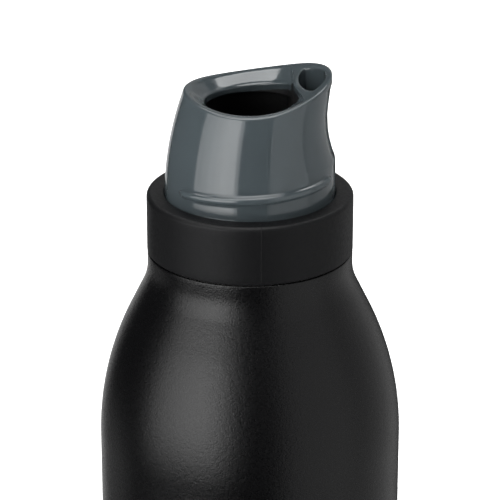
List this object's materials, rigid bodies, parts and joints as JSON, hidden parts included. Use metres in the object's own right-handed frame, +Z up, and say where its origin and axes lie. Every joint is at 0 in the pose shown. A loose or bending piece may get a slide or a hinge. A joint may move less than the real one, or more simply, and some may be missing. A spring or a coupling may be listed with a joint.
{
  "type": "water bottle",
  "caption": "Insulated double-walled bottle with a screw lid, a two-way drinking spout with a wide mouth and a sip port, and a straw inside.",
  "frame": {"origin": "centre of the base, on the surface the bottle stands on", "axes": "+Z up along the bottle's axis; +X towards the tall end of the spout, where the sip port is; XZ is the spout's mirror plane"},
  "size_m": [0.073, 0.073, 0.2618],
  "materials": {
    "powder_coat": "matt black powder coat with a fine grain, on steel",
    "bare_steel": "satin stainless steel",
    "bead_glass": "dull sealing glass",
    "getter_alloy": "sintered metal pellet",
    "copper_foil": "bright copper-coloured foil",
    "seal_silicone": "soft dark silicone",
    "collar_plastic": "black plastic with a fine moulded grain",
    "spout_plastic": "smooth grey plastic, satin gloss",
    "straw_plastic": "smooth grey plastic"
  },
  "bodies": {
    "bottle": {"outer_shell": "powder_coat", "inner_vessel": "bare_steel", "base_plate": "powder_coat", "sealing_bead": "bead_glass", "port_cover": "powder_coat", "getter": "getter_alloy", "getter_clip": "bare_steel", "reflective_foil": "copper_foil"},
    "gasket": {"lid_gasket": "seal_silicone"},
    "seal": {"spout_seal": "seal_silicone"},
    "lid": {"threaded_insert": "collar_plastic", "collar": "collar_plastic", "spout": "spout_plastic", "straw_bushing": "seal_silicone"},
    "drinking_straw": {"straw": "straw_plastic"}
  },
  "joints": [
    {"name": "lid_lift", "type": "slide", "parent": "bottle", "child": "gasket", "axis": [0, 0, 1], "range_m": [0, 0.22]},
    {"name": "lid_rise", "type": "slide", "parent": "gasket", "child": "seal", "axis": [0, 0, 1], "range_m": [0, 0.00625]},
    {"name": "lid_turn", "type": "hinge", "parent": "seal", "child": "lid", "pos_m": [0, 0, 0.225], "axis": [0, 0, 1], "range_deg": [0, 450]},
    {"name": "straw_pull", "type": "slide", "parent": "lid", "child": "drinking_straw", "axis": [0, 0, -1], "range_m": [0, 0.0086]}
  ],
  "couplings": [
    {"joint": "lid_turn", "follows": "lid_rise", "rad_per_m": 1256.6}
  ]
}
